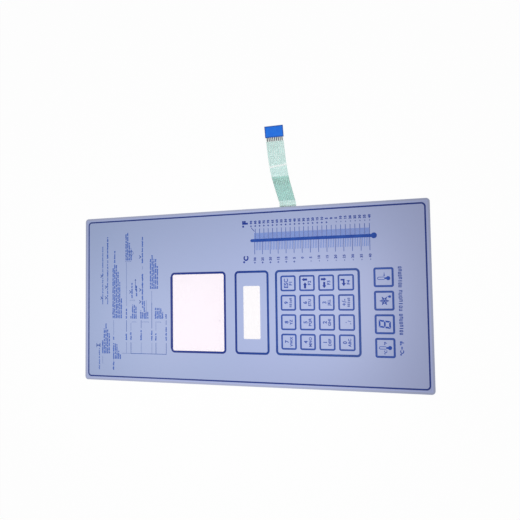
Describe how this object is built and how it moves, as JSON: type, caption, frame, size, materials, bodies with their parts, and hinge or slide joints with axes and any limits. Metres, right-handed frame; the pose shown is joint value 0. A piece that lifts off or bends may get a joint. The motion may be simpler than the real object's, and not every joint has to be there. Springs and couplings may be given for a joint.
{
  "type": "membrane keypad panel",
  "caption": "Flat membrane keypad panel with a key block, a row of larger keys, two clear display windows, a printed temperature scale and a flat see-through tail.",
  "frame": {"origin": "centre of the panel outline on the back face of the release liner", "axes": "+Z out of the printed face, +Y towards the top of the panel as a user reads it, +X towards the long edge that the tail leaves"},
  "size_m": [0.3536, 0.53, 0.0649],
  "materials": {
    "liner_paper": "matte",
    "adhesive": "satin",
    "circuit_film": "gloss",
    "silver_print": "satin",
    "spacer_film": "satin",
    "dome_steel": "polished",
    "coat_green": "satin",
    "coat_dark_green": "satin",
    "carbon_print": "matte",
    "stiffener_blue": "satin",
    "overlay_clear": "satin",
    "pale_ink": "satin",
    "dark_ink": "satin",
    "chart_ink": "satin"
  },
  "bodies": {
    "root": {"release_liner": "liner_paper", "rear_adhesive": "adhesive", "lower_circuit_film": "circuit_film", "row_conductors": "silver_print", "contact_spacer": "spacer_film", "link_dots": "silver_print", "column_conductors": "silver_print", "upper_circuit_film": "circuit_film", "tail_coating": "coat_green", "tail_coating_band": "coat_dark_green", "tail_contacts": "carbon_print", "tail_stiffener": "stiffener_blue", "dome_spacer": "spacer_film", "dome_row1_col1": "dome_steel", "dome_row1_col2": "dome_steel", "dome_row1_col3": "dome_steel", "dome_row1_col4": "dome_steel", "dome_row2_col1": "dome_steel", "dome_row2_col2": "dome_steel", "dome_row2_col3": "dome_steel", "dome_row2_col4": "dome_steel", "dome_row3_col1": "dome_steel", "dome_row3_col2": "dome_steel", "dome_row3_col3": "dome_steel", "dome_row3_col4": "dome_steel", "dome_row4_col1": "dome_steel", "dome_row4_col2": "dome_steel", "dome_row4_col3": "dome_steel", "dome_row4_col4": "dome_steel", "dome_special_1": "dome_steel", "dome_special_2": "dome_steel", "dome_special_3": "dome_steel", "dome_special_4": "dome_steel", "overlay_adhesive": "adhesive", "overlay_film": "overlay_clear", "base_ink": "pale_ink", "border_print": "dark_ink", "frames_print": "dark_ink", "key_outlines_print": "dark_ink", "thermometer_print": "dark_ink", "guide_chart_print": "chart_ink"}
  },
  "joints": []
}
